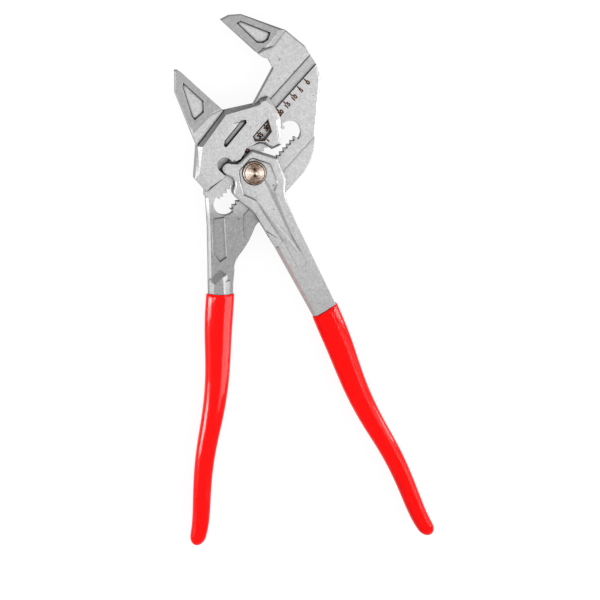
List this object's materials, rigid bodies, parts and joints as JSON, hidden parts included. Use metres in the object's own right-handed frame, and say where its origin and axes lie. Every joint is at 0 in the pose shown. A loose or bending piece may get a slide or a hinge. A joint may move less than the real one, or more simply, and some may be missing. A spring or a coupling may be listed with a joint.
{
  "type": "adjustable pliers",
  "caption": "Adjustable pliers: smooth parallel jaws slide along a toothed slot when the button is pressed, and the pivoting lever handle closes them. Dipped grips.",
  "frame": {"origin": "on the axis of the pivot bolt, at the flat back face of the bolt, with the tool lying on its back", "axes": "+X to the right across the handles, +Y up from the grips to the jaws, +Z out of the front face, along the pivot bolt"},
  "size_m": [0.1296, 0.2634, 0.0157],
  "materials": {
    "forged_steel": "satin, fine-grained forged and ground steel",
    "dipped_grip": "glossy dipped coating",
    "bronze_button": "turned, with a bronze tone",
    "spring_steel": "bright drawn wire and stamped washer"
  },
  "bodies": {
    "fixed_arm": {"fixed_jaw_arm": "forged_steel", "fixed_arm_grip": "dipped_grip"},
    "carriage": {"spring_washer": "spring_steel", "button_spring": "spring_steel"},
    "lever": {"lever_arm": "forged_steel", "lever_grip": "dipped_grip"},
    "slider": {"sliding_jaw": "forged_steel"},
    "bolt": {"pivot_bolt": "forged_steel", "push_button": "bronze_button"}
  },
  "joints": [
    {"name": "adjust", "type": "slide", "parent": "fixed_arm", "child": "carriage", "axis": [0.6756, 0.7373, 0], "range_m": [-0.0175, 0.0275]},
    {"name": "lever_swing", "type": "hinge", "parent": "carriage", "child": "lever", "pos_m": [0, 0, 0.0072], "axis": [0, 0, -1], "range_deg": [-6, 9.5]},
    {"name": "jaw_close", "type": "slide", "parent": "carriage", "child": "slider", "axis": [0.6756, 0.7373, 0], "range_m": [-0.00122, 0.00192]},
    {"name": "button_press", "type": "slide", "parent": "carriage", "child": "bolt", "axis": [0, 0, -1], "range_m": [0, 0.0023], "stiffness_N_per_m": 600, "springref_m": -0.0025, "deforming": ["button_spring"]}
  ],
  "couplings": [
    {"joint": "jaw_close", "follows": "lever_swing", "m_per_rad": 0.0115}
  ]
}
